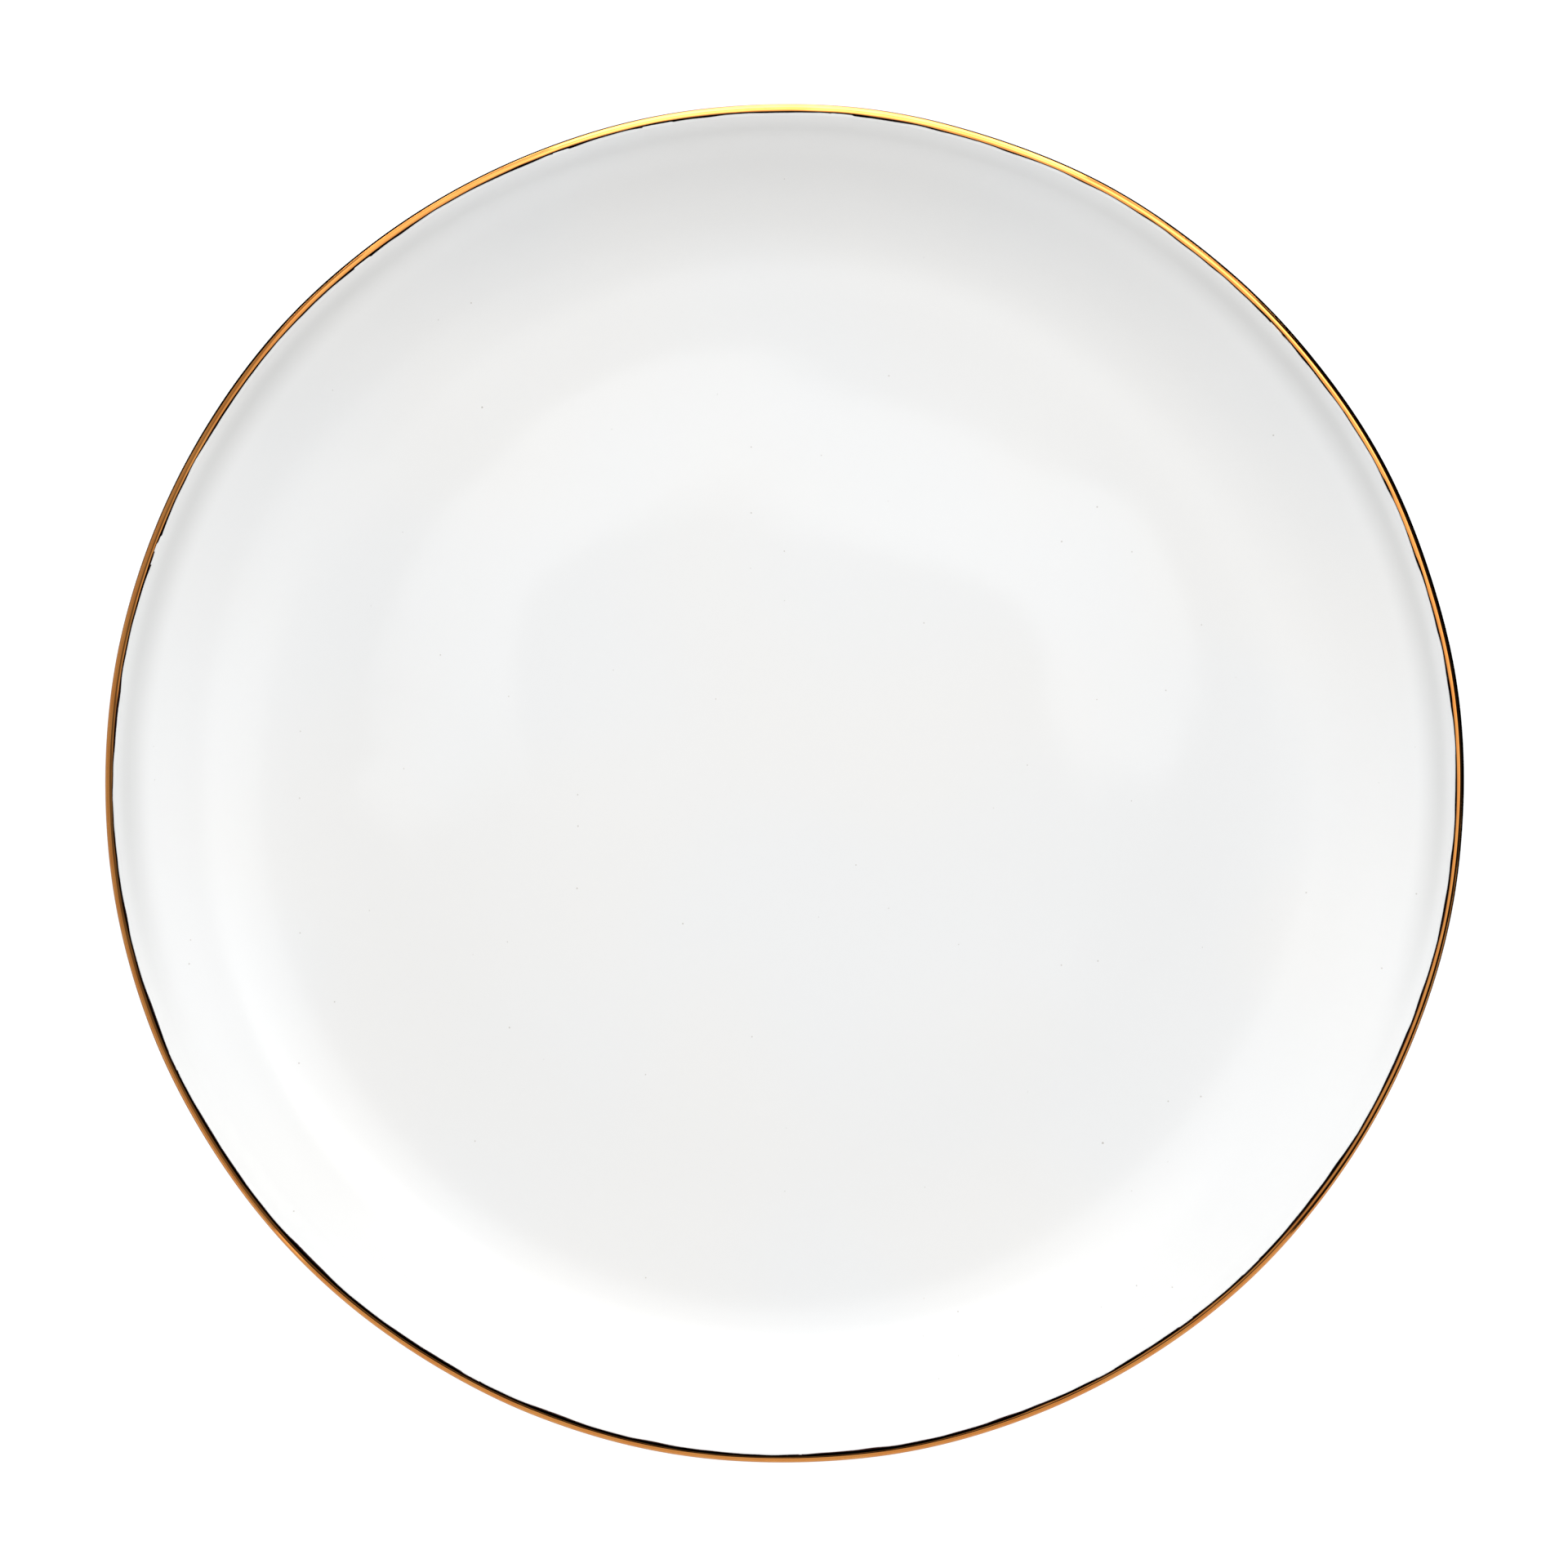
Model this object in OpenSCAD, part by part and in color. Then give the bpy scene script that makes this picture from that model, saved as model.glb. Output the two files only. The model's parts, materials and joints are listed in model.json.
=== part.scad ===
// Coupe dinner plate in white porcelain with a gilded lip.
//
// The plate is turned ware: every piece is one cross-section swept once round the Z axis.
// The origin is the centre of the foot ring on the table, +Z is up, and sizes are in millimetres.
// The ware is the fired clay. Glaze lies on it everywhere but on the foot ring's sole,
// and the gold is painted over the glaze on the lip.

/* [Plate] */
// Diameter across the gilded lip
plate_d = 270; // [200:1:320]
// Height of the lip's crown above the table
plate_h = 26; // [24.5:0.5:28]
// Thickness of the finished, rounded lip
lip_t = 3; // [2.6:0.1:3.4]
// Slope of the wall below the lip, in degrees from level
wall_slope = 46; // [44:1:48]
// How far in from the lip's outer edge the wall starts to bend up
wall_reach = 31; // [30:0.5:32]

/* [Well] */
// How far the well rises gently before the wall, outside its level middle
rise_reach = 18; // [14:0.5:24]
// Slope that the well has gained by then, in degrees
heel_slope = 5; // [3:0.5:6]
// Thickness of the finished floor inside the foot ring
floor_t = 4; // [3.6:0.1:4.4]

/* [Foot ring] */
// How far inside the level middle's edge the middle of the sole stands
foot_inset = 4; // [4:0.5:12]
// Width of the flat sole
sole_w = 1.6; // [1.2:0.1:2]
// Height of the plate's underside above the table, just outside the foot ring
foot_h = 2.8; // [2.6:0.1:3.2]
// Height of the recess inside the foot ring
recess_h = 2.4; // [2.3:0.1:2.8]
// Lean of the foot ring's two flanks from upright, in degrees
flank_lean = 15; // [5:1:20]

/* [Coats] */
// Thickness of the glaze
glaze_t = 0.25; // [0.15:0.05:0.3]
// Thickness given to the gold
gold_t = 0.08; // [0.05:0.01:0.1]
// Width of the gold seen from straight above
gold_w = 1.9; // [1.6:0.1:2.2]
// How far past the widest point the gold wraps down the outside, in degrees of the lip's round
gold_wrap = 25; // [10:1:35]

/* [Hidden] */

// Steps in which the section's arcs are drawn
bend_steps = 24;
lip_steps = 20;
small_steps = 8;
// Steps round the axis
sweep_steps = 240;

// Radii of the heel, where the wall starts to bend, of the well's level middle and of the sole
heel_r = plate_d / 2 - wall_reach;
level_r = heel_r - rise_reach;
foot_r = level_r - foot_inset;

// The ware's levels: the finished surfaces stand one glaze outside them
well_z = recess_h + floor_t - glaze_t;
under_z = foot_h + glaze_t;
recess_z = recess_h + glaze_t;

// The lip is half a round bar, and its two sides run on as the wall's two faces
lip_centre = [plate_d / 2 - lip_t / 2, plate_h - lip_t / 2];
lip_round = lip_t / 2 - glaze_t - gold_t;
// Facing angles are measured in the section from straight outward, anticlockwise
up = 90;
down = -90;
inside_facing = up + wall_slope;
outside_facing = down + wall_slope;
// The face's glaze and the back's glaze meet under the gold
seam_facing = 40;
gold_inner_facing = acos(1 - gold_w / (lip_t / 2));
gold_outer_facing = -gold_wrap;

// The well's gentle rise, from the level middle to the heel
rise_r = (heel_r - level_r) / sin(heel_slope);
rise_centre = [level_r, well_z + rise_r];
under_rise_r = rise_centre[1] - under_z;

// The foot ring's rounded corners and the fillets at the top of its flanks
corner_r = 0.9;
fillet_r = 1.4;
outer_corner = [foot_r + sole_w / 2, corner_r];
inner_corner = [foot_r - sole_w / 2, corner_r];
outer_flank = -flank_lean;
inner_flank = flank_lean - 180;

// Unit vector at an angle in the section
function toward(angle) = [cos(angle), sin(angle)];

// An arc of the section as [point, facing] pairs. The radius is above zero where the
// surface bulges out, and below zero where it is hollow.
function arc(centre, radius, from, to, steps, first = 0) =
    [for (i = [first : steps])
        let (facing = from + (to - from) * i / steps)
        [centre + radius * toward(facing), facing]];

// Radius of the bend that turns from the heel's slope to the wall's, so that a straight
// wall tangent to it ends at the lip
function bend_radius(start, end) =
    let (reach = end - start)
    (reach[0] * sin(wall_slope) - reach[1] * cos(wall_slope))
        / (1 - cos(wall_slope - heel_slope));

// How far a fillet's centre stands from the near corner of the sole, for an underside at
// a given level
function fillet_reach(level) =
    (corner_r + fillet_r + sin(flank_lean) * (level - fillet_r - corner_r)) / cos(flank_lean);

// The points of a run, moved out of the ware's surface by a thickness
function coated(run, thickness) = [for (p = run) p[0] + thickness * toward(p[1])];
function reversed(list) = [for (i = [len(list) - 1 : -1 : 0]) list[i]];
function after_first(list) = [for (i = [1 : len(list) - 1]) list[i]];

// The bends inside and outside the wall
face_heel = rise_centre - rise_r * toward(up + heel_slope);
face_wall_top = lip_centre + lip_round * toward(inside_facing);
face_bend_r = bend_radius(face_heel, face_wall_top);
face_bend_centre = face_heel + face_bend_r * toward(up + heel_slope);

back_heel = rise_centre + under_rise_r * toward(down + heel_slope);
back_wall_top = lip_centre + lip_round * toward(outside_facing);
back_bend_r = bend_radius(back_heel, back_wall_top);
back_bend_centre = back_heel - back_bend_r * toward(down + heel_slope);

// The section of the ware, in four runs from the centre of the face, over the lip and
// the foot ring, to the centre of the underside
face_run = concat(
    [[[0, well_z], up]],
    arc(rise_centre, -rise_r, up, up + heel_slope, small_steps),
    arc(face_bend_centre, -face_bend_r, up + heel_slope, inside_facing, bend_steps, 1),
    arc(lip_centre, lip_round, inside_facing, seam_facing, lip_steps)
);
back_run = concat(
    arc(lip_centre, lip_round, seam_facing, outside_facing, lip_steps),
    arc(back_bend_centre, back_bend_r, outside_facing, down + heel_slope, bend_steps),
    arc(rise_centre, under_rise_r, down + heel_slope, down, small_steps, 1),
    arc(
        [outer_corner[0] + fillet_reach(under_z), under_z - fillet_r],
        -fillet_r, down, outer_flank, small_steps
    ),
    [[outer_corner + corner_r * toward(outer_flank), outer_flank]]
);
sole_run = concat(
    arc(outer_corner, corner_r, outer_flank, down, small_steps),
    arc(inner_corner, corner_r, down, inner_flank, small_steps)
);
recess_run = concat(
    [[inner_corner + corner_r * toward(inner_flank), inner_flank]],
    arc(
        [inner_corner[0] - fillet_reach(recess_z), recess_z - fillet_r],
        -fillet_r, inner_flank, down, small_steps
    ),
    [[[0, recess_z], down]]
);
gold_run = arc(lip_centre, lip_round, gold_inner_facing, gold_outer_facing, 2 * lip_steps);

// Sweeps a closed outline round the axis
module turned(outline) {
    rotate_extrude($fn = sweep_steps)
        polygon(outline);
}

// A coat that follows a run of the section between two heights over the ware
module coat(run, from_t, to_t) {
    turned(concat(coated(run, from_t), reversed(coated(run, to_t))));
}

// The fired clay: well, wall, lip and foot ring in one, bare only on the sole
module porcelain_body() {
    color("oldlace")
        turned(coated(
            concat(face_run, after_first(back_run), after_first(sole_run), after_first(recess_run)),
            0
        ));
}

// Glaze over the well and up the inside of the wall
module face_glaze() {
    color("white")
        coat(face_run, 0, glaze_t);
}

// Glaze down the outside of the wall and under it, as far as the foot ring's sole
module back_glaze() {
    color("whitesmoke")
        coat(back_run, 0, glaze_t);
}

// Glaze in the shallow recess inside the foot ring
module foot_recess_glaze() {
    color("snow")
        coat(recess_run, 0, glaze_t);
}

// The painted and fired gold on the lip
module gold_rim_band() {
    color("goldenrod")
        coat(gold_run, glaze_t, glaze_t + gold_t);
}

porcelain_body();
face_glaze();
back_glaze();
foot_recess_glaze();
gold_rim_band();
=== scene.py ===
# %% [markdown]
# # A gold-lipped coupe plate in white porcelain
#
# This lesson builds one dinner plate as a potter and a gilder would: a clay body turned from one
# section, three coats of glaze melted onto it, and a band of gold painted on the lip. The packed
# CAD model is the fixed frame. It says how wide and high the plate is, and where the level well
# and the foot ring's sole lie. Everything is in metres, with the table at z = 0.

# %% Load the frame
import json
import math
import bpy
from mathutils import Matrix, Vector


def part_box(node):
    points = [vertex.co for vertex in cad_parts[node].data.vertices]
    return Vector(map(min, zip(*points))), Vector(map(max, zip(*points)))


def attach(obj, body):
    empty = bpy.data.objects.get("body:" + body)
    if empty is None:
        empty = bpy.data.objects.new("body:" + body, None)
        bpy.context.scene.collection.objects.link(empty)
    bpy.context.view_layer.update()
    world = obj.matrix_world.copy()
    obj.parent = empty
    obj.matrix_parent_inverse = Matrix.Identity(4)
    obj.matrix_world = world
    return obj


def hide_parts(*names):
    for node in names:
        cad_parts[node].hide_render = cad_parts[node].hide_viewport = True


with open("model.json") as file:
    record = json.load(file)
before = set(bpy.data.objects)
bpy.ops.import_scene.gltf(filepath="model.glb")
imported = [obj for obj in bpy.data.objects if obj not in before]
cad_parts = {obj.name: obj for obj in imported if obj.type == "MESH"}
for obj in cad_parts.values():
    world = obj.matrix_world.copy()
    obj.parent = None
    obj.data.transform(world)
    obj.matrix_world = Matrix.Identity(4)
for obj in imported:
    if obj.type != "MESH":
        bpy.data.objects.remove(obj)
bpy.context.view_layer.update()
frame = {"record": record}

# %% [markdown]
# ## The potter's template
#
# A real plate is pressed by a roller that carries its section. The template here is that section:
# a few radii, angles and thicknesses. What the frame already holds is read from it, so the looks
# can't drift from the design.

# %% What the frame says
mm = 0.001
mounts = {m["name"]: Vector(m["pos_m"]) for m in frame["record"]["mounts"]}
plate_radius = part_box("gold_rim_band")[1].x
plate_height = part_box("gold_rim_band")[1].z
well_height = mounts["well_floor"].z
sole_radius = mounts["foot_ring"].x
recess_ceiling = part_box("foot_recess_glaze")[1].z
well_thickness = well_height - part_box("face_glaze")[0].z
print(f"radius {plate_radius / mm:.2f}, height {plate_height / mm:.2f}, glaze {well_thickness / mm:.2f} mm")

# %% The rest of the template
glaze_thickness = 0.25 * mm
gold_thickness = 0.08 * mm
lip_thickness = 3.0 * mm
wall_slope = 46.0
heel_slope = 5.0
heel_radius = plate_radius - 31 * mm
level_radius = heel_radius - 18 * mm
foot_height = 2.8 * mm
sole_width = 1.6 * mm
flank_lean = 15.0
corner_radius = 0.9 * mm
fillet_radius = 1.4 * mm
gold_width = 1.9 * mm
gold_wrap = 25.0
glaze_seam = 40.0
UP, DOWN = 90.0, -90.0

# %% [markdown]
# ## Drawing a section as arcs
#
# Each stretch of the section is a list of places, and each place knows which way the surface faces
# there. With the facing known, a coat of any thickness is the same list moved outwards. That is
# how glaze and gold get exactly the curve of the clay below them.

# %% Arcs, straights and coats
def toward(angle):
    """Unit vector at an angle in the section: 0 is outward and 90 is up."""
    return Vector((math.cos(math.radians(angle)), 0, math.sin(math.radians(angle))))


def arc(centre, radius, start, end, steps, first=0):
    """Places on an arc as (point, facing). The radius is below zero where the surface is hollow."""
    facings = [start + (end - start) * i / steps for i in range(first, steps + 1)]
    return [(centre + radius * toward(a), a) for a in facings]


def straight(start, end, facing, steps):
    """Places between two points, without the points themselves."""
    return [(start.lerp(end, i / steps), facing) for i in range(1, steps)]


def coated(run, thickness):
    """The run's points, moved out of the surface."""
    return [point + thickness * toward(facing) for point, facing in run]


def section_point(radius, height):
    return Vector((radius, 0, height))


# %% [markdown]
# ## The clay's section
#
# The lip is half a round bar. Below it the wall runs straight at its slope, then bends into the
# gently rising well. The bend's radius isn't chosen: only one circle touches the heel and leaves a
# straight wall that ends at the lip. The same sum gives the bend on the outside.

# %% Lip, bends and foot
lip_centre = section_point(plate_radius - lip_thickness / 2, plate_height - lip_thickness / 2)
clay_lip_radius = lip_thickness / 2 - glaze_thickness - gold_thickness
clay_well = well_height - glaze_thickness
clay_under = foot_height + glaze_thickness
inside_facing = UP + wall_slope
outside_facing = DOWN + wall_slope


def bend_radius(start, end):
    """Radius of the bend from the heel to a straight wall that ends at the lip."""
    reach = end - start
    slope = math.radians(wall_slope)
    turn = math.radians(wall_slope - heel_slope)
    return (reach.x * math.sin(slope) - reach.z * math.cos(slope)) / (1 - math.cos(turn))


def fillet_reach(level):
    """How far a fillet's centre stands from the sole's near corner, for an underside at a level."""
    lean = math.radians(flank_lean)
    up_flank = level - fillet_radius - corner_radius
    return (corner_radius + fillet_radius + math.sin(lean) * up_flank) / math.cos(lean)


rise_radius = (heel_radius - level_radius) / math.sin(math.radians(heel_slope))
rise_centre = section_point(level_radius, clay_well + rise_radius)
under_rise_radius = rise_centre.z - clay_under

face_heel = rise_centre - rise_radius * toward(UP + heel_slope)
face_wall_top = lip_centre + clay_lip_radius * toward(inside_facing)
face_bend = bend_radius(face_heel, face_wall_top)
face_bend_centre = face_heel + face_bend * toward(UP + heel_slope)
face_bend_end = face_bend_centre - face_bend * toward(inside_facing)

back_heel = rise_centre + under_rise_radius * toward(DOWN + heel_slope)
back_wall_top = lip_centre + clay_lip_radius * toward(outside_facing)
back_bend = bend_radius(back_heel, back_wall_top)
back_bend_centre = back_heel - back_bend * toward(DOWN + heel_slope)
back_bend_end = back_bend_centre + back_bend * toward(outside_facing)

outer_corner = section_point(sole_radius + sole_width / 2, corner_radius)
inner_corner = section_point(sole_radius - sole_width / 2, corner_radius)
outer_flank = -flank_lean
inner_flank = flank_lean - 180
outer_fillet = section_point(outer_corner.x + fillet_reach(clay_under), clay_under - fillet_radius)
inner_fillet = section_point(
    inner_corner.x - fillet_reach(recess_ceiling), recess_ceiling - fillet_radius
)
print(f"bends {face_bend / mm:.1f} and {back_bend / mm:.1f} mm")
print(f"straight wall from {face_bend_end.x / mm:.1f} mm")

# %% The section in four runs
face_run = (
    [(section_point(0, clay_well), UP)]
    + straight(section_point(0, clay_well), section_point(level_radius, clay_well), UP, 24)
    + arc(rise_centre, -rise_radius, UP, UP + heel_slope, 8)
    + arc(face_bend_centre, -face_bend, UP + heel_slope, inside_facing, 26, 1)
    + straight(face_bend_end, face_wall_top, inside_facing, 26)
    + arc(lip_centre, clay_lip_radius, inside_facing, glaze_seam, 24)
)
back_run = (
    arc(lip_centre, clay_lip_radius, glaze_seam, outside_facing, 20)
    + straight(back_wall_top, back_bend_end, outside_facing, 6)
    + arc(back_bend_centre, back_bend, outside_facing, DOWN + heel_slope, 26)
    + arc(rise_centre, under_rise_radius, DOWN + heel_slope, DOWN, 8, 1)
    + arc(outer_fillet, -fillet_radius, DOWN, outer_flank, 8)
    + straight(
        outer_fillet - fillet_radius * toward(outer_flank),
        outer_corner + corner_radius * toward(outer_flank), outer_flank, 6,
    )
    + [(outer_corner + corner_radius * toward(outer_flank), outer_flank)]
)
sole_run = arc(outer_corner, corner_radius, outer_flank, DOWN, 8) + arc(
    inner_corner, corner_radius, DOWN, inner_flank, 8
)
recess_centre = section_point(0, recess_ceiling)
recess_run = (
    [(inner_corner + corner_radius * toward(inner_flank), inner_flank)]
    + straight(
        inner_corner + corner_radius * toward(inner_flank),
        inner_fillet - fillet_radius * toward(inner_flank), inner_flank, 6,
    )
    + arc(inner_fillet, -fillet_radius, inner_flank, DOWN, 8)
    + straight(section_point(inner_fillet.x, recess_ceiling), recess_centre, DOWN, 22)
    + [(recess_centre, DOWN)]
)
print("places in the runs:", len(face_run), len(back_run), len(sole_run), len(recess_run))

# %% [markdown]
# ## What the roller leaves
#
# A pressed plate departs from its drawing by a few tenths of a millimetre. The well lifts a little
# before its heel, and a soft hollow and bead run round the wall just below the lip. Both are too low
# to feel, but they bend the reflections. Each place moves along its own facing, so the coats that
# are drawn from the same run stay parallel to the clay.

# %% The pressed face
bead_radius = plate_radius - 4.5 * mm
bead_reach = 1.1 * mm
bead_push = 0.26 * mm
lip_margin = 0.6 * mm
lift = 0.3 * mm
lift_start = level_radius - 10 * mm
lift_crest = heel_radius - 8 * mm
lift_end = heel_radius + 10 * mm


def soft_step(value, low, high):
    """0 below low, 1 above high, smooth between."""
    share = min(1.0, max(0.0, (value - low) / (high - low)))
    return share * share * (3 - 2 * share)


def pressed(run):
    """The face's run with the lift of the well and the bead below the lip."""
    shaped = []
    for point, facing in run:
        across = (point.x - bead_radius) / bead_reach
        push = bead_push * across * math.exp(-across * across / 2)
        push *= min(1.0, max(0.0, (lip_centre.x - point.x) / lip_margin))
        rising = soft_step(point.x, lift_start, lift_crest)
        push += lift * (rising - soft_step(point.x, lift_crest, lift_end))
        shaped.append((point + push * toward(facing), facing))
    return shaped


face_run = pressed(face_run)
print(f"bead of {bead_push / mm:.2f} mm at {bead_radius / mm:.1f} mm from the axis")

# %% [markdown]
# ## Turning a section
#
# One point is extruded along the outline in edit mode, and a Screw modifier turns that outline
# once round the Z axis. Spin would give the same faces, but it takes a hundred times as long with
# this many steps. Screw merges the seam and the poles as it goes, and it is applied at once.

# %% The wheel
merge_distance = 0.002 * mm


def finish_modifier(piece, kind, **settings):
    """Adds one modifier and applies it."""
    bpy.ops.object.select_all(action="DESELECT")
    piece.select_set(True)
    bpy.context.view_layer.objects.active = piece
    bpy.ops.object.modifier_add(type=kind)
    modifier = piece.modifiers[-1]
    for key, value in settings.items():
        setattr(modifier, key, value)
    bpy.ops.object.modifier_apply(modifier=modifier.name)


def turned(name, outline, steps):
    """Draws an outline with extruded points and turns it once round the Z axis."""
    bpy.ops.object.select_all(action="DESELECT")
    bpy.ops.mesh.primitive_plane_add(size=mm)
    piece = bpy.context.object
    piece.name = piece.data.name = name
    bpy.ops.object.mode_set(mode="EDIT")
    bpy.ops.mesh.merge(type="CENTER")
    bpy.ops.transform.translate(value=outline[0])
    for here, there in zip(outline, outline[1:]):
        bpy.ops.mesh.extrude_region_move(TRANSFORM_OT_translate={"value": there - here})
    bpy.ops.object.mode_set(mode="OBJECT")
    finish_modifier(
        piece, "SCREW", steps=steps, render_steps=steps, use_merge_vertices=True,
        merge_threshold=merge_distance,
    )
    bpy.ops.object.mode_set(mode="EDIT")
    bpy.ops.mesh.select_all(action="SELECT")
    bpy.ops.mesh.remove_doubles(threshold=merge_distance)
    bpy.ops.mesh.normals_make_consistent(inside=False)
    bpy.ops.mesh.select_all(action="DESELECT")
    bpy.ops.object.mode_set(mode="OBJECT")
    bpy.ops.object.shade_smooth()
    print(f"{name}: {len(piece.data.vertices)} points, {len(piece.data.polygons)} faces")
    return piece


def coat_outline(run, inner, outer):
    """The closed outline of a coat between two thicknesses over a run."""
    return coated(run, outer) + coated(run, inner)[::-1]


# %% [markdown]
# ## The fired clay
#
# The body is one piece of porcelain from the middle of the well to the foot. Glaze hides all of it
# except the sole of the foot ring, which is wiped clean so that it doesn't stick to the kiln shelf.

# %% Turn the body
around = 400
body_outline = coated(face_run + back_run[1:] + sole_run[1:] + recess_run[1:], 0)
fired_clay = turned("fired_clay", body_outline, around)

# %% [markdown]
# ## The glaze
#
# Glaze is glass that was melted on the clay. Surface tension gives its edge above the sole a small
# rounded roll, thicker than the coat, and the roll is what a fingertip feels under a plate.

# %% Coats with a rolled edge
edge_roll = [0.3, 1.05, 1.36, 1.42, 1.3, 1.12, 1.0]


def rolled(run, rolled_last):
    """A coat's outline whose edge over the sole swells and then rounds off to nothing."""
    outer = []
    for i, (point, facing) in enumerate(run):
        from_edge = len(run) - 1 - i if rolled_last else i
        share = edge_roll[from_edge] if from_edge < len(edge_roll) else 1.0
        outer.append(point + share * glaze_thickness * toward(facing))
    return outer + coated(run, 0)[::-1]


face_glaze_coat = turned("face_glaze_coat", coat_outline(face_run, 0, glaze_thickness), around)
back_outline = rolled(back_run, True)
back_glaze_coat = turned("back_glaze_coat", back_outline + back_outline[:1], around)
recess_glaze_coat = turned("recess_glaze_coat", rolled(recess_run, False), around)

# %% [markdown]
# ## The gold
#
# The gilder holds a loaded brush against the lip while the plate turns on a wheel. The outside edge
# comes out clean, and the inside edge wanders by a tenth of a millimetre. A plain torus would give
# two perfect edges. So the gold starts as a sheet on the lip, its inner edge is stirred by a
# Displace modifier, Shrinkwrap lays it back on the glaze, and Solidify gives it its thickness.

# %% A sheet of gold on the lip
gold_around = 1536
gold_rings = 22
gold_inner = math.degrees(math.acos(1 - gold_width / (lip_thickness / 2)))
gold_run = arc(lip_centre, clay_lip_radius, gold_inner, -gold_wrap, gold_rings)
gilded_lip = turned("gilded_lip", coated(gold_run, glaze_thickness), gold_around)


def mark_points(piece, group_name, weight_of):
    """Fills a vertex group with a weight worked out from each point's place."""
    group = piece.vertex_groups.new(name=group_name)
    for vertex in piece.data.vertices:
        weight = weight_of(vertex.co)
        if weight > 0:
            group.add([vertex.index], min(weight, 1.0), "REPLACE")
    return group.name


def stirring(name, size, depth=0):
    """A soft three-way noise: its red, green and blue move a point along X, Y and Z."""
    noise = bpy.data.textures.new(name, "CLOUDS")
    noise.noise_scale = size
    noise.noise_depth = depth
    noise.cloud_type = "COLOR"
    return noise


def stir(piece, noise, strength, group):
    finish_modifier(
        piece, "DISPLACE", texture=noise, texture_coords="LOCAL", direction="RGB_TO_XYZ",
        strength=strength, mid_level=0.5, vertex_group=group,
    )


# %% How far each place is from the brush's inner edge
def gold_lip_angle(co):
    """Which way the lip faces at a place, in radians in the section."""
    return math.atan2(co.z - lip_centre.z, math.hypot(co.x, co.y) - lip_centre.x)


def measure_from_inner_edge(piece):
    """Stores the length along the lip's round from the gold's inner edge, for the finish."""
    start = max(gold_lip_angle(vertex.co) for vertex in piece.data.vertices)
    length = piece.data.attributes.new("from_inner_edge", "FLOAT", "POINT")
    for vertex in piece.data.vertices:
        turn = start - gold_lip_angle(vertex.co)
        length.data[vertex.index].value = turn * lip_thickness / 2


measure_from_inner_edge(gilded_lip)

# %% The brush's wandering edge
edge_radius = coated(gold_run, glaze_thickness)[0].x
stirred_width = 0.35 * mm


def near_inner_edge(co):
    """1 on the gold's inner edge and 0 where the brush held steady."""
    return 1 - (math.hypot(co.x, co.y) - edge_radius) / stirred_width


wander_group = mark_points(gilded_lip, "inner_edge", near_inner_edge)
stir(gilded_lip, stirring("brush_wander", 8 * mm, 1), 0.5 * mm, wander_group)
finish_modifier(
    gilded_lip, "SHRINKWRAP", target=face_glaze_coat, wrap_method="NEAREST_SURFACEPOINT",
    wrap_mode="ON_SURFACE", vertex_group=wander_group,
)
finish_modifier(gilded_lip, "SOLIDIFY", thickness=gold_thickness, offset=1.0)
print("gilded_lip after Solidify:", len(gilded_lip.data.polygons), "faces")

# %% [markdown]
# ## What the kiln does
#
# No plate leaves the kiln perfectly round or level. It ends some tenths of a millimetre out of
# round, and the well has shallow swells that show only in reflections. The same two noises move
# every piece, so coats and clay stay together, and the movement fades to nothing at the sole.

# %% Kiln warp
def free_of_the_shelf(co):
    """0 at the sole and 1 from the well's level upwards."""
    return soft_step(co.z, foot_height + 0.4 * mm, clay_well - 0.4 * mm)


warps = [
    (stirring("out_of_round", 120 * mm), 0.4 * mm),
    (stirring("soft_swells", 38 * mm), 0.55 * mm),
]
pieces = [fired_clay, face_glaze_coat, back_glaze_coat, recess_glaze_coat, gilded_lip]
for piece in pieces:
    warp_group = mark_points(piece, "free_of_the_shelf", free_of_the_shelf)
    for noise, strength in warps:
        stir(piece, noise, strength, warp_group)
    piece.vertex_groups.clear()
print("warped", len(pieces), "pieces")

# %% [markdown]
# ## Shared effects
#
# Specks, turned lines and soft waves turn up in more than one finish. Each is a node group with
# named inputs, built once. A group only gives out masks and values. The shader itself stays in the
# material, where its fixed numbers sit on its own sockets.

# %% Node helpers
def new_group(name, inputs, outputs):
    """An empty shader group with named sockets. Inputs are (name, kind, default)."""
    group = bpy.data.node_groups.new(name, "ShaderNodeTree")
    for socket_name, kind, default in inputs:
        socket = group.interface.new_socket(socket_name, in_out="INPUT", socket_type=kind)
        if default is not None:
            socket.default_value = default
    for socket_name, kind in outputs:
        group.interface.new_socket(socket_name, in_out="OUTPUT", socket_type=kind)
    return group


def add(tree, kind, **settings):
    """Adds a node and sets its properties."""
    node = tree.nodes.new(kind)
    for key, value in settings.items():
        setattr(node, key, value)
    return node


def join(tree, source, target):
    tree.links.new(source, target)


def feed(tree, value, target):
    """Gives an input a number or joins it to a socket."""
    if isinstance(value, (int, float)):
        target.default_value = value
    else:
        join(tree, value, target)


def math_node(tree, operation, *values):
    """A Math node fed by sockets or numbers."""
    node = add(tree, "ShaderNodeMath", operation=operation)
    for value, target in zip(values, node.inputs):
        feed(tree, value, target)
    return node.outputs[0]


def scaled(tree, value, factor, offset):
    return math_node(tree, "MULTIPLY_ADD", value, factor, offset)


def flipped(tree, mask):
    return math_node(tree, "SUBTRACT", 1.0, mask)


def split(tree, place):
    """The X, Y and Z of a position."""
    parts = add(tree, "ShaderNodeSeparateXYZ")
    join(tree, place, parts.inputs[0])
    return tuple(parts.outputs)


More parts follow.
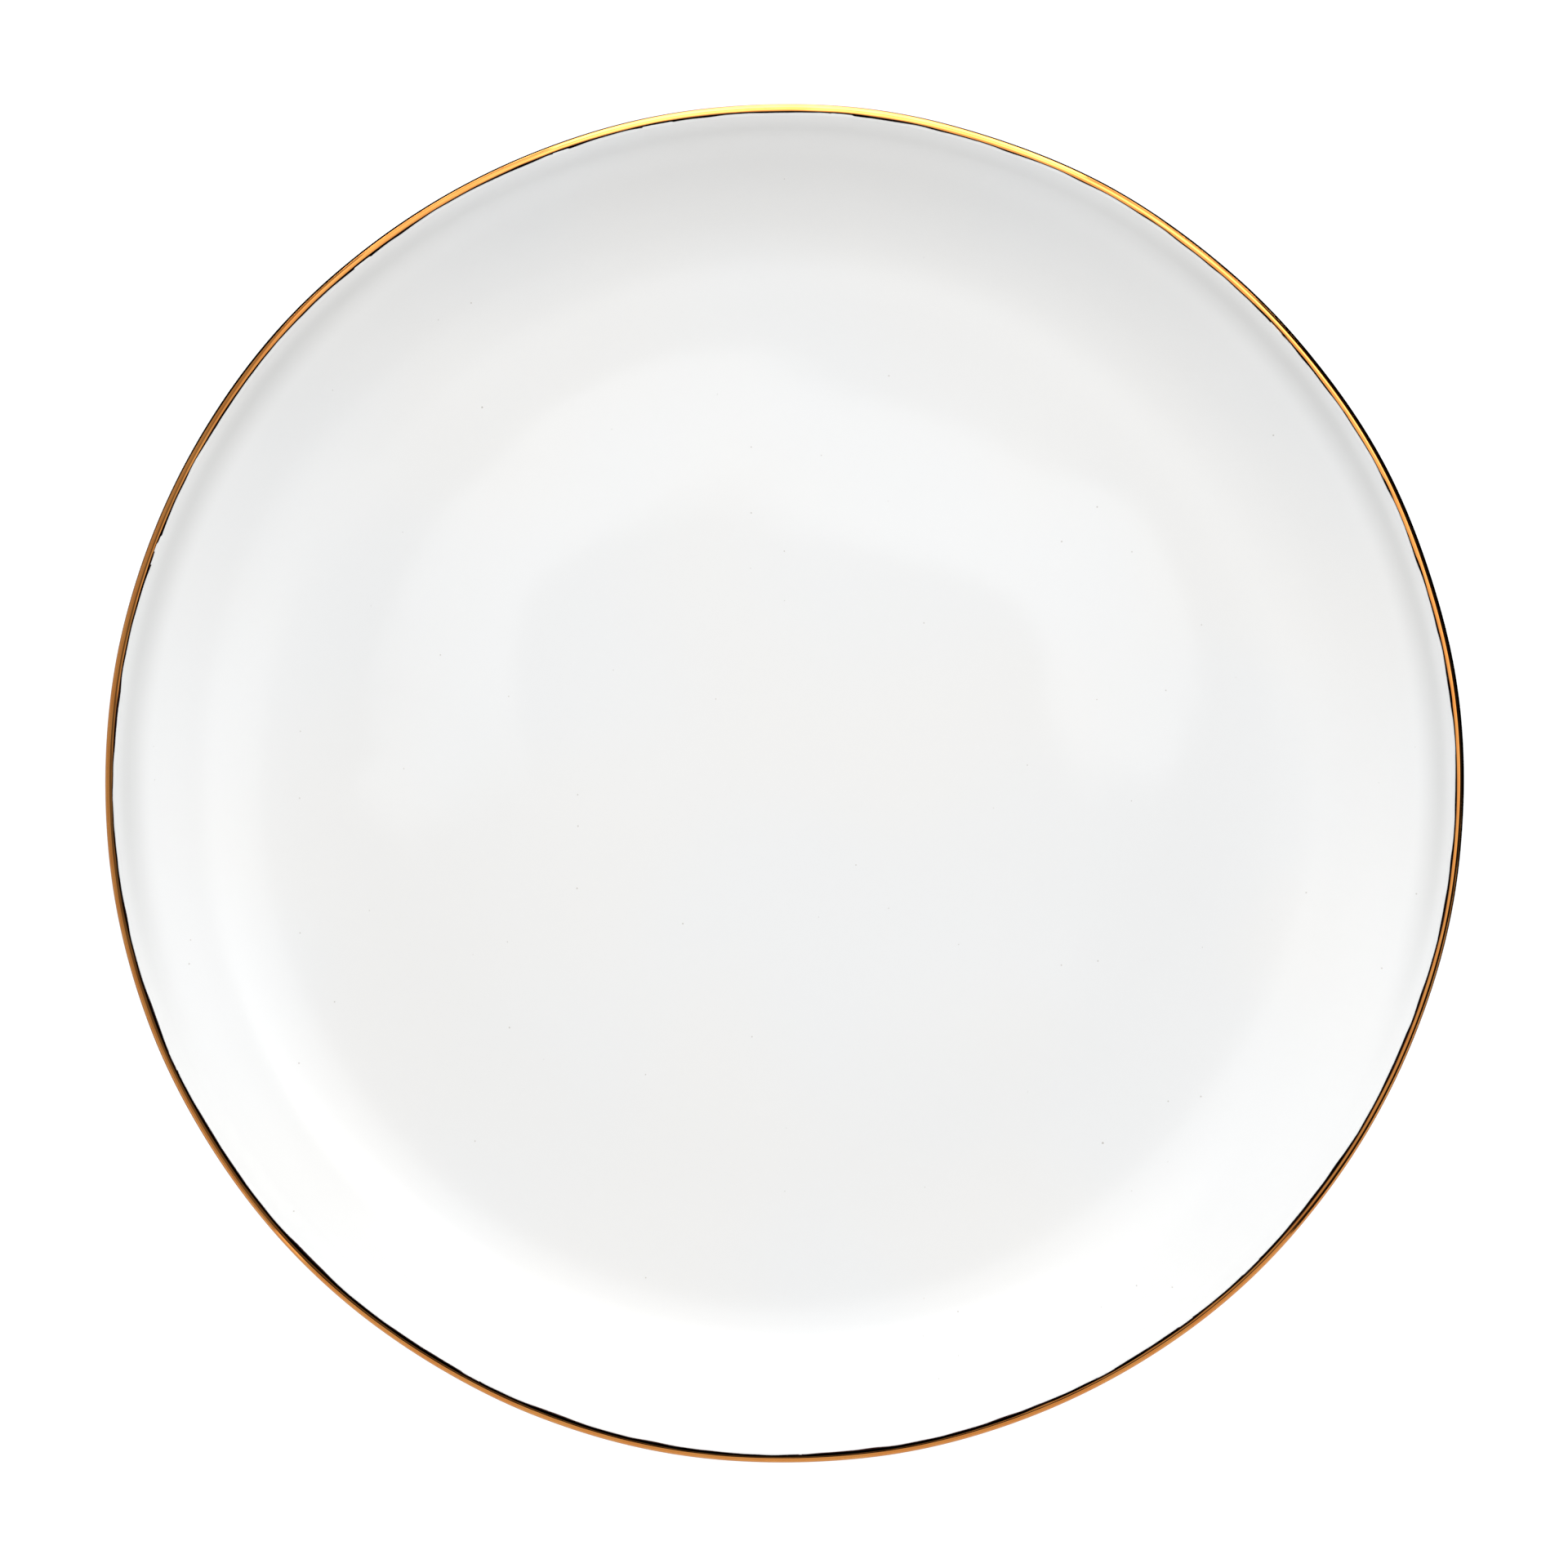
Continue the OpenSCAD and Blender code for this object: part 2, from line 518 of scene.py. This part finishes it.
def distance_from_axis(tree, place):
    x, y, _ = split(tree, place)
    flat = add(tree, "ShaderNodeCombineXYZ")
    join(tree, x, flat.inputs["X"])
    join(tree, y, flat.inputs["Y"])
    length = add(tree, "ShaderNodeVectorMath", operation="LENGTH")
    join(tree, flat.outputs[0], length.inputs[0])
    return length.outputs["Value"]


def ramp_between(tree, value, low, high):
    """0 below low, 1 above high, smooth between."""
    node = add(tree, "ShaderNodeMapRange", interpolation_type="SMOOTHSTEP")
    join(tree, value, node.inputs["Value"])
    feed(tree, low, node.inputs["From Min"])
    feed(tree, high, node.inputs["From Max"])
    return node.outputs["Result"]


def mixed_colour(tree, factor, first, second):
    """Mixes two colours, given as sockets or as tuples."""
    node = add(tree, "ShaderNodeMix", data_type="RGBA")
    join(tree, factor, node.inputs[0])
    for i, value in ((6, first), (7, second)):
        if isinstance(value, tuple):
            node.inputs[i].default_value = (*value, 1)
        else:
            join(tree, value, node.inputs[i])
    return node.outputs[2]


# %% Group: kiln specks
def build_kiln_specks():
    """Rare round dots: iron specks and pinholes. One cell in so many holds one."""
    group = new_group(
        "kiln_specks",
        [("Vector", "NodeSocketVector", None), ("Spacing", "NodeSocketFloat", 9 * mm),
         ("Radius", "NodeSocketFloat", 0.2 * mm), ("Share", "NodeSocketFloat", 0.1)],
        [("Mask", "NodeSocketFloat")],
    )
    entry, leave = add(group, "NodeGroupInput"), add(group, "NodeGroupOutput")
    cells = add(group, "ShaderNodeTexVoronoi", voronoi_dimensions="2D", feature="F1")
    join(group, entry.outputs["Vector"], cells.inputs["Vector"])
    join(group, math_node(group, "DIVIDE", 1.0, entry.outputs["Spacing"]), cells.inputs["Scale"])
    distance = math_node(group, "MULTIPLY", cells.outputs["Distance"], entry.outputs["Spacing"])
    pick = add(group, "ShaderNodeSeparateColor")
    join(group, cells.outputs["Color"], pick.inputs[0])
    chosen = math_node(group, "LESS_THAN", pick.outputs[0], entry.outputs["Share"])
    vary = scaled(group, pick.outputs[1], 0.8, 0.5)
    size = math_node(group, "MULTIPLY", entry.outputs["Radius"], vary)
    core = math_node(group, "MULTIPLY", size, 0.5)
    inside = flipped(group, ramp_between(group, distance, core, size))
    join(group, math_node(group, "MULTIPLY", inside, chosen), leave.inputs["Mask"])
    return group


# %% Group: turned lines
def build_turned_lines():
    """Fine lines that run round the axis, as a brush or a sponge leaves on a wheel."""
    group = new_group(
        "turned_lines",
        [("Vector", "NodeSocketVector", None), ("Across", "NodeSocketFloat", 4000.0),
         ("Along", "NodeSocketFloat", 20.0)],
        [("Value", "NodeSocketFloat")],
    )
    entry, leave = add(group, "NodeGroupInput"), add(group, "NodeGroupOutput")
    x, y, z = split(group, entry.outputs["Vector"])
    radius = distance_from_axis(group, entry.outputs["Vector"])
    across = math_node(group, "MULTIPLY", math_node(group, "SUBTRACT", radius, z),
                       entry.outputs["Across"])
    stretched = add(group, "ShaderNodeCombineXYZ")
    join(group, math_node(group, "MULTIPLY", x, entry.outputs["Along"]), stretched.inputs[0])
    join(group, math_node(group, "MULTIPLY", y, entry.outputs["Along"]), stretched.inputs[1])
    join(group, across, stretched.inputs[2])
    noise = add(group, "ShaderNodeTexNoise")
    noise.inputs["Scale"].default_value = 1.0
    noise.inputs["Detail"].default_value = 2.0
    join(group, stretched.outputs[0], noise.inputs["Vector"])
    join(group, noise.outputs["Fac"], leave.inputs["Value"])
    return group


# %% Group: soft waves
def build_soft_waves():
    """The lazy unevenness of anything that was melted: two sizes of smooth noise."""
    group = new_group(
        "soft_waves",
        [("Vector", "NodeSocketVector", None), ("Length", "NodeSocketFloat", 6 * mm)],
        [("Value", "NodeSocketFloat")],
    )
    entry, leave = add(group, "NodeGroupInput"), add(group, "NodeGroupOutput")
    noise = add(group, "ShaderNodeTexNoise")
    noise.inputs["Detail"].default_value = 1.0
    noise.inputs["Roughness"].default_value = 0.35
    join(group, entry.outputs["Vector"], noise.inputs["Vector"])
    join(group, math_node(group, "DIVIDE", 1.0, entry.outputs["Length"]), noise.inputs["Scale"])
    join(group, noise.outputs["Fac"], leave.inputs["Value"])
    return group


kiln_specks = build_kiln_specks()
turned_lines = build_turned_lines()
soft_waves = build_soft_waves()
print("groups:", [g.name for g in bpy.data.node_groups])


# %% Placing a group in a material
def place_group(tree, group, place, **values):
    """Puts a shared group in a material, fed by a position, and returns its only output."""
    node = add(tree, "ShaderNodeGroup", node_tree=group)
    join(tree, place, node.inputs["Vector"])
    for key, value in values.items():
        node.inputs[key].default_value = value
    return node.outputs[0]


def new_finish(name):
    """A material with its Principled shader and the object's own coordinates."""
    material = bpy.data.materials.new(name)
    material.use_nodes = True
    tree = material.node_tree
    shader = tree.nodes["Principled BSDF"]
    place = add(tree, "ShaderNodeTexCoord").outputs["Object"]
    return material, tree, shader, place


def bumped(tree, shader, height, depth, before=None):
    """Feeds a height to the shader's normal through a Bump node, on top of an earlier one."""
    bump = add(tree, "ShaderNodeBump")
    bump.inputs["Distance"].default_value = depth
    join(tree, height, bump.inputs["Height"])
    if before is not None:
        join(tree, before, bump.inputs["Normal"])
    join(tree, bump.outputs[0], shader.inputs["Normal"])
    return bump.outputs[0]


# %% [markdown]
# ## The glaze's finish
#
# Glazed porcelain is a white, slightly scattering body under clear glass. One Principled shader
# with a low roughness gives both. Real detail is small: the white drifts between a warm and a cool
# tone, iron specks sit in it, and its surface has the long soft waves of melted glass.

# %% White glaze
warm_face, cool_face = (0.870, 0.868, 0.858), (0.862, 0.868, 0.868)
warm_back, cool_back = (0.860, 0.856, 0.842), (0.850, 0.858, 0.858)
# The grey of the painted shade under the lip.
shoulder_shade_grey = (0.40, 0.40, 0.39)
iron_light, iron_dark = (0.34, 0.30, 0.25), (0.30, 0.26, 0.22)


def where_shoulder_shade_falls(tree, place):
    """Share of the painted shade: 1 on the two sides, a quarter at the back and nothing at the front."""
    x, y, _ = split(tree, place)
    sides = ramp_between(
        tree, math_node(tree, "ABSOLUTE", x), 0.35 * plate_radius, 0.8 * plate_radius)
    behind = ramp_between(tree, y, -0.5 * plate_radius, 0.0)
    return math_node(tree, "MULTIPLY", scaled(tree, sides, 0.72, 0.28), behind)


def painted_shoulder_shade(tree, place, from_axis, strength):
    """A grey ring of painted shade under the lip, over the bead."""
    rising = ramp_between(tree, from_axis, bead_radius - 4.5 * mm, bead_radius + 0.2 * mm)
    falling = ramp_between(tree, from_axis, bead_radius + 0.3 * mm, bead_radius + 1.8 * mm)
    ring = math_node(tree, "SUBTRACT", rising, math_node(tree, "MULTIPLY", falling, 0.42))
    shaded_share = math_node(tree, "MULTIPLY", where_shoulder_shade_falls(tree, place), strength)
    return math_node(tree, "MULTIPLY", ring, shaded_share)


def with_specks(tree, colour, place, spacing, radius, share, speck_colour, strength):
    """A colour with iron specks of one size in it."""
    specks = place_group(
        tree, kiln_specks, place, Spacing=spacing, Radius=radius, Share=share)
    return mixed_colour(tree, math_node(tree, "MULTIPLY", specks, strength), colour, speck_colour)


def build_white_glaze(name, warm, cool, speck_share, shoulder_shade_strength):
    material, tree, shader, place = new_finish(name)
    from_axis = distance_from_axis(tree, place)
    drift = place_group(tree, soft_waves, place, Length=55 * mm)
    white = mixed_colour(tree, ramp_between(tree, drift, 0.35, 0.65), warm, cool)
    # Painted shade: a grey ring under the lip, on the two sides and at the back.
    ring = painted_shoulder_shade(tree, place, from_axis, shoulder_shade_strength)
    white = mixed_colour(tree, ring, white, shoulder_shade_grey)
    white = with_specks(tree, white, place, 7 * mm, 0.17 * mm, speck_share, iron_light, 0.45)
    white = with_specks(tree, white, place, 31 * mm, 0.26 * mm, speck_share, iron_dark, 0.6)
    join(tree, white, shader.inputs["Base Color"])
    on_wall = ramp_between(tree, from_axis, level_radius + 8 * mm, heel_radius + 3 * mm)
    gloss = place_group(tree, soft_waves, place, Length=14 * mm)
    roughness = scaled(tree, on_wall, 0.17, scaled(tree, gloss, 0.05, 0.015))
    join(tree, roughness, shader.inputs["Roughness"])
    shader.inputs["IOR"].default_value = 1.5
    waves = place_group(tree, soft_waves, place, Length=5 * mm)
    first = bumped(tree, shader, waves, 0.006 * mm)
    ripples = place_group(tree, turned_lines, place, Across=700.0, Along=6.0)
    bumped(tree, shader, math_node(tree, "MULTIPLY", ripples, on_wall), 0.012 * mm, first)
    return material


white_glaze_face = build_white_glaze("white_glaze_face", warm_face, cool_face, 0.09, 0.3)
white_glaze_back = build_white_glaze("white_glaze_back", warm_back, cool_back, 0.14, 0.0)
print("glazes:", white_glaze_face.name, white_glaze_back.name)

# %% [markdown]
# ## Bare clay
#
# The sole has no glaze. It is dry and slightly rough, with the lines of the sponge that wiped it
# and a grey bloom from tables and other plates.

# %% Bare clay
clay_dark, clay_light = (0.70, 0.67, 0.61), (0.80, 0.78, 0.73)
worn_grey = (0.58, 0.56, 0.52)


def build_bare_clay():
    material, tree, shader, place = new_finish("bare_clay")
    lines = place_group(tree, turned_lines, place, Across=9000.0, Along=60.0)
    grain = place_group(tree, soft_waves, place, Length=0.35 * mm)
    stain = place_group(tree, soft_waves, place, Length=9 * mm)
    clean = mixed_colour(tree, grain, clay_dark, clay_light)
    worn = math_node(tree, "MULTIPLY", ramp_between(tree, stain, 0.3, 0.8), lines)
    join(tree, mixed_colour(tree, worn, clean, worn_grey), shader.inputs["Base Color"])
    join(tree, scaled(tree, grain, 0.2, 0.6), shader.inputs["Roughness"])
    first = bumped(tree, shader, lines, 0.03 * mm)
    bumped(tree, shader, grain, 0.04 * mm, first)
    return material


bare_clay = build_bare_clay()
print("clay:", bare_clay.name)

# %% [markdown]
# ## Bright gold
#
# Liquid gold fires to a mirror of a deep, slightly coppery yellow. It takes the glaze's waves, has
# faint lines along the brush's path, and ends in a dark line: partly the half-burnt edge where the
# brush ran dry, partly a painted dark reflection.

# %% Bright gold
yellow_gold, coppery_gold = (0.95, 0.40, 0.105), (0.92, 0.35, 0.085)
brushed_gold = (0.84, 0.29, 0.065)
# Near-black for the gold's inner edge: partly half-burnt gold, partly a painted dark reflection.
burnt_and_reflected_dark = (0.022, 0.009, 0.008)


def burnt_and_reflected_dark_width(tree, place):
    """Width of the dark edge line, half-burnt gold with painted dark reflection: more at the front, less at
    the back right.
    """
    x, y, _ = split(tree, place)
    toward_back_right = ramp_between(
        tree, math_node(tree, "ADD", x, y), 1.1 * plate_radius, 1.4 * plate_radius)
    toward_front = ramp_between(
        tree, math_node(tree, "MULTIPLY", y, -1.0), -0.2 * plate_radius, 0.5 * plate_radius)
    dry = place_group(tree, soft_waves, place, Length=11 * mm)
    width = scaled(tree, dry, 0.2 * mm, 0.25 * mm)
    width = scaled(tree, toward_front, 0.14 * mm, width)
    return scaled(tree, toward_back_right, -0.26 * mm, width)


def build_bright_gold():
    material, tree, shader, place = new_finish("bright_gold")
    shader.inputs["Metallic"].default_value = 1.0
    brush = place_group(tree, turned_lines, place, Across=7000.0, Along=45.0)
    cloud = place_group(tree, soft_waves, place, Length=7 * mm)
    clouded = ramp_between(tree, cloud, 0.3, 0.7)
    gold = mixed_colour(tree, clouded, yellow_gold, coppery_gold)
    gold = mixed_colour(tree, ramp_between(tree, brush, 0.55, 0.8), gold, brushed_gold)
    from_edge = add(tree, "ShaderNodeAttribute", attribute_name="from_inner_edge").outputs["Fac"]
    width = burnt_and_reflected_dark_width(tree, place)
    fully_dark = math_node(tree, "MULTIPLY", width, 0.75)
    not_dark = math_node(tree, "MULTIPLY", width, 1.3)
    # The dark inner edge: half-burnt gold with a painted dark reflection on it.
    dark_edge_share = flipped(tree, ramp_between(tree, from_edge, fully_dark, not_dark))
    join(tree, mixed_colour(tree, dark_edge_share, gold, burnt_and_reflected_dark), shader.inputs["Base Color"])
    join(tree, scaled(tree, brush, 0.06, 0.03), shader.inputs["Roughness"])
    first = bumped(tree, shader, cloud, 0.012 * mm)
    bumped(tree, shader, brush, 0.003 * mm, first)
    return material


bright_gold = build_bright_gold()
print("gold:", bright_gold.name)

# %% Dress the pieces
dressing = [
    (fired_clay, "porcelain_body", bare_clay, "porcelain_biscuit"),
    (face_glaze_coat, "face_glaze", white_glaze_face, "white_glaze"),
    (back_glaze_coat, "back_glaze", white_glaze_back, "white_glaze"),
    (recess_glaze_coat, "foot_recess_glaze", white_glaze_back, "white_glaze"),
    (gilded_lip, "gold_rim_band", bright_gold, "bright_gold"),
]
for piece, node, material, slot in dressing:
    piece.data.materials.clear()
    piece.data.materials.append(material)
    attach(piece, "root")
    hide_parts(node)
print("dressed", [piece.name for piece, *_ in dressing])

# %% [markdown]
# ## The studio
#
# Such plates are shown from straight above on a glowing white table. A broad scrim hangs over the
# plate and grows brighter towards the back and the right. It has a round hole for the camera, a
# lamp's glow about the hole, and the shade of whoever works the camera, a little in front of it. A
# bright wall stands behind, and a grey card in front and another at the left. The gold shows all of
# them as coloured lines, and it shows the dark room between them as black ones.
#
# The table's sheet lies a hair below z = 0, so that it doesn't share a plane with the sole.
#
# Two kinds of light are split. Cards and glints are seen only in reflections, and fills light only
# what is matt. So the glaze's white and its shine can each be set without the other.

# %% The white table
def plane_object(name, size, material, location=(0, 0, 0)):
    """A flat sheet of the studio, kept out of the object itself."""
    bpy.ops.object.select_all(action="DESELECT")
    bpy.ops.mesh.primitive_plane_add(size=1.0)
    sheet = bpy.context.object
    sheet.name = sheet.data.name = name
    sheet.scale = (*size, 1)
    bpy.ops.object.transform_apply(location=False, rotation=False, scale=True)
    sheet.location = location
    sheet.data.materials.append(material)
    return sheet


table_gap = 0.02 * mm
table_white, table_grey = (0.8, 0.8, 0.8), (0.22, 0.22, 0.22)
camera_glow = 0.88
glow_behind = 4.0
glow_under_plate = 0.4


def build_table_finish():
    """White for the camera, and lit in front, at the left and behind for the gold.

    Under the plate it glows for everything but the camera, and from below it is clear.
    """
    material, tree, shader, place = new_finish("white_table")
    rays = add(tree, "ShaderNodeLightPath")
    for_camera, for_mirror = rays.outputs["Is Camera Ray"], rays.outputs["Is Glossy Ray"]
    x, y, _ = split(tree, place)
    front = ramp_between(tree, math_node(tree, "MULTIPLY", y, -1.0), 0.02, 0.12)
    leftward = math_node(tree, "MULTIPLY", x, -1.0)
    left = ramp_between(tree, scaled(tree, y, -1.3, leftward), 0.03, 0.15)
    lit_front = math_node(tree, "MULTIPLY", front, 0.7)
    lit_left = math_node(tree, "MULTIPLY", left, 0.45)
    lit = math_node(tree, "MAXIMUM", lit_front, lit_left)
    mirrored = add(tree, "ShaderNodeCombineColor")
    for channel in mirrored.inputs:
        join(tree, lit, channel)
    tone = mixed_colour(tree, for_mirror, table_white, mirrored.outputs[0])
    tone = mixed_colour(tree, for_camera, tone, table_grey)
    join(tree, tone, shader.inputs["Base Color"])
    shader.inputs["Roughness"].default_value = 0.9
    shader.inputs["Specular IOR Level"].default_value = 0.0
    off_middle = math_node(tree, "MULTIPLY", math_node(tree, "ABSOLUTE", x), 0.8)
    behind = ramp_between(tree, math_node(tree, "SUBTRACT", y, off_middle), 0.12, 0.2)
    behind = math_node(tree, "MULTIPLY", behind, for_mirror)
    from_axis = distance_from_axis(tree, place)
    under_plate = flipped(tree, ramp_between(tree, from_axis, sole_radius, 0.98 * plate_radius))
    under_plate = math_node(tree, "MULTIPLY", under_plate, flipped(tree, for_camera))
    glow = math_node(tree, "MULTIPLY", for_camera, camera_glow)
    glow = scaled(tree, behind, glow_behind, glow)
    glow = scaled(tree, under_plate, glow_under_plate, glow)
    shader.inputs["Emission Color"].default_value = (1, 1, 1, 1)
    join(tree, glow, shader.inputs["Emission Strength"])
    from_below = add(tree, "ShaderNodeNewGeometry").outputs["Backfacing"]
    join(tree, flipped(tree, from_below), shader.inputs["Alpha"])
    material.cycles.emission_sampling = "NONE"
    return material


white_table = plane_object("white_table", (8.0, 8.0), build_table_finish(), (0, 0, -table_gap))
print("table:", white_table.name)


# %% The scrim overhead
scrim_height = 1.32
camera_hole = 0.125
hole_softness = 0.01
hole_centre = (0, 0, 0)
shade_reach = 0.37
shade_softness = 0.03
shade_centre = (-0.05, -0.35, 0)
lamp_glow = 0.28


def distance_from(tree, place, centre):
    node = add(tree, "ShaderNodeVectorMath", operation="DISTANCE")
    join(tree, place, node.inputs[0])
    node.inputs[1].default_value = centre
    return node.outputs["Value"]


def outside_of(tree, distance, radius, softness):
    """0 within a round edge and 1 outside it."""
    return ramp_between(tree, distance, radius - softness, radius + softness)


def build_scrim_finish():
    """Cloth lit from behind, brighter to the back and the right, with a hole for the camera."""
    material, tree, shader, place = new_finish("scrim_cloth")
    shader.inputs["Base Color"].default_value = (0, 0, 0, 1)
    shader.inputs["Specular IOR Level"].default_value = 0.0
    x, y, _ = split(tree, place)
    glow = scaled(tree, ramp_between(tree, scaled(tree, x, 0.4, y), -0.4, 1.3), 1.23, 0.46)
    from_hole = distance_from(tree, place, hole_centre)
    from_shade = distance_from(tree, place, shade_centre)
    near_lamp = flipped(tree, ramp_between(tree, from_hole, 0.15, 0.5))
    glow = scaled(tree, near_lamp, lamp_glow, glow)
    left_edge = ramp_between(tree, scaled(tree, y, 0.8, x), -0.55, -0.2)
    dimmers = [
        scaled(tree, left_edge, 0.72, 0.28),
        flipped(tree, ramp_between(tree, x, 1.5, 1.8)),
        outside_of(tree, from_hole, camera_hole, hole_softness),
        outside_of(tree, from_shade, shade_reach, shade_softness),
    ]
    for dimmer in dimmers:
        glow = math_node(tree, "MULTIPLY", glow, dimmer)
    shader.inputs["Emission Color"].default_value = (1, 1, 1, 1)
    join(tree, glow, shader.inputs["Emission Strength"])
    return material


overhead_scrim = plane_object("overhead_scrim", (1, 1), build_scrim_finish(), (0, 0, scrim_height))
overhead_scrim.data.transform(
    Matrix.Translation((0.3, 0.65, 0)) @ Matrix.Diagonal((3.4, 3.1, 1, 1))
)
overhead_scrim.visible_camera = overhead_scrim.visible_shadow = False
print(f"scrim {scrim_height} m above the table, hole {2 * camera_hole} m wide")


# %% The wall behind, the cards and the fills
def light_panel(name, brightness, centre, size, aim):
    """A flat glowing panel. Brightness is how white it would look, with 1 as full white."""
    lamp = bpy.data.lights.new(name, "AREA")
    lamp.shape = "RECTANGLE"
    lamp.size, lamp.size_y = size
    lamp.energy = brightness * math.pi * size[0] * size[1]
    panel = bpy.data.objects.new(name, lamp)
    bpy.context.scene.collection.objects.link(panel)
    panel.location = centre
    direction = Vector(aim) - Vector(centre)
    panel.rotation_euler = direction.to_track_quat("-Z", "Y").to_euler()
    panel.visible_camera = False
    return panel


light_panel("bright_wall_behind", 1.13, (0.2, 1.8, 0.68), (3.2, 0.9), (0.2, 0, 0.68))
glints = [
    light_panel("glint_behind", 4.5, (0.1, 1.78, 0.5), (1.5, 1.0), (0.1, 0, 0.5)),
    light_panel("glint_above", 1.3, (0.5, 1.1, scrim_height - 0.02), (1.8, 1.0), (0.5, 1.1, 0)),
]
for glint in glints:
    glint.visible_diffuse = False
cards = [
    light_panel("grey_card_front", 0.62, (0, -1.3, 0.6), (3.0, 1.2), (0, 0, 0.6)),
    light_panel("pale_card_left", 0.4, (-1.3, 0.25, 0.6), (3.1, 1.2), (0, 0.25, 0.6)),
]
for card in cards:
    card.visible_diffuse = False
fills = [
    light_panel("low_fill_left", 2.78, (-1.4, 0, 0.3), (2.2, 0.45), (0, 0, 0.3)),
    light_panel("low_fill_right", 2.47, (1.4, 0, 0.3), (2.2, 0.45), (0, 0, 0.3)),
    light_panel("low_fill_front", 0.55, (0, -1.4, 0.3), (2.2, 0.45), (0, 0, 0.3)),
    light_panel("high_fill_front", 1.5, (0, -1.0, 1.25), (2.0, 0.8), (0, -1.0, 0)),
    light_panel("high_fill_behind", 1.22, (0.3, 1.3, 1.25), (2.0, 1.0), (0.3, 1.3, 0)),
    light_panel("high_fill_left", 0.57, (-0.9, 0, 1.1), (2.0, 0.8), (-0.4, 0, 0)),
]
for fill in fills:
    fill.visible_glossy = False
print("lights:", 1 + len(glints + cards + fills))


# %% The room
mirrored_room, matt_room, seen_room = (0.012, 0.012, 0.014), (0.20, 0.20, 0.20), (1.0, 1.0, 1.0)
world = bpy.data.worlds.new("studio_room")
bpy.context.scene.world = world
world.use_nodes = True
world.cycles.sampling_method = "NONE"
room = world.node_tree
room_rays = add(room, "ShaderNodeLightPath").outputs
tone = mixed_colour(room, room_rays["Is Diffuse Ray"], mirrored_room, matt_room)
tone = mixed_colour(room, room_rays["Is Camera Ray"], tone, seen_room)
join(room, tone, room.nodes["Background"].inputs["Color"])
print("room:", world.name)

# %% [markdown]
# ## The camera
#
# The camera looks straight down with a long lens. The lens is worked out from the share of the view
# that the plate fills, so a change in the plate's size keeps the framing.

# %% Camera
share_of_view = 0.866771
camera_height = 1.1
lens_data = bpy.data.cameras.new("overhead_camera")
lens_data.sensor_width = 36.0
view_width = 2 * plate_radius / share_of_view
lens_data.lens = lens_data.sensor_width * camera_height / view_width
overhead_camera = bpy.data.objects.new("overhead_camera", lens_data)
bpy.context.scene.collection.objects.link(overhead_camera)
overhead_camera.location = (0, 0, lip_centre.z + camera_height)
bpy.context.scene.camera = overhead_camera
bpy.context.scene.view_settings.view_transform = "Standard"
print(f"lens {lens_data.lens:.1f} mm")
